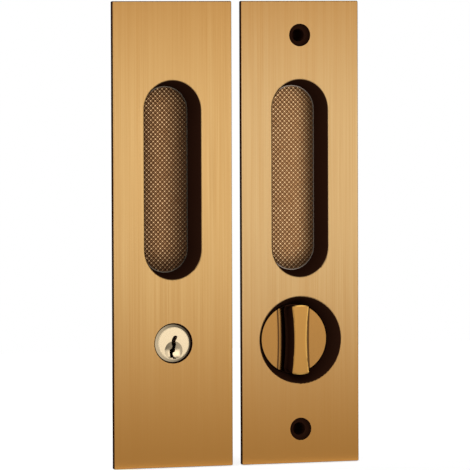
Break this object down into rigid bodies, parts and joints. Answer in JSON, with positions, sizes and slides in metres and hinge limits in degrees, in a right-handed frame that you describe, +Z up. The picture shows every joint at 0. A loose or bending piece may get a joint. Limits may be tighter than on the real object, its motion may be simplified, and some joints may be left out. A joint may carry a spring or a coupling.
{
  "type": "sliding door lock",
  "caption": "Two upright bronze plates of a sliding door lock: flush-pull cups with knurled floors, a key cylinder outside and a recessed thumb-turn inside.",
  "frame": {"origin": "midway between the inside plate's two screw holes, in the plane of its back, on the door's face", "axes": "+Z up the plates, +Y into the door, +X to the right as seen from the front"},
  "size_m": [0.1123, 0.0385, 0.2],
  "materials": {
    "plate_bronze": "vertically brushed yellow bronze, darkened in the recesses",
    "grip_bronze": "knurled, dark in the pits and rubbed bright on the ridges",
    "turn_bronze": "satin bronze, dark on the blade's sides",
    "cylinder_brass": "polished pale brass",
    "spring_steel": "dark oiled spring steel",
    "plated_steel": "zinc-plated steel",
    "bush_nylon": "moulded natural nylon"
  },
  "bodies": {
    "plates": {"outside_plate": "plate_bronze", "outside_grip": "grip_bronze", "cylinder_housing": "cylinder_brass", "driver_pins": "cylinder_brass", "pin_springs": "spring_steel", "pin_caps": "cylinder_brass", "cylinder_clamp": "plated_steel", "clamp_screws": "plated_steel", "inside_plate": "plate_bronze", "inside_grip": "grip_bronze", "turn_bush": "bush_nylon", "turn_washer": "spring_steel"},
    "key_plug": {"cylinder_plug": "cylinder_brass", "key_pins": "cylinder_brass", "plug_ring": "spring_steel", "tail_bar": "plated_steel", "tail_pin": "plated_steel"},
    "turn": {"thumb_turn": "turn_bronze", "turn_ring": "spring_steel", "spindle": "plated_steel", "spindle_pin": "plated_steel"}
  },
  "joints": [
    {"name": "turn_rotation", "type": "hinge", "parent": "plates", "child": "turn", "pos_m": [0, 0, -0.0466], "axis": [0, 1, 0], "range_deg": [0, 90]},
    {"name": "key_rotation", "type": "hinge", "parent": "plates", "child": "key_plug", "pos_m": [-0.0583, 0, -0.0466], "axis": [0, 1, 0], "range_deg": [0, 90]}
  ]
}
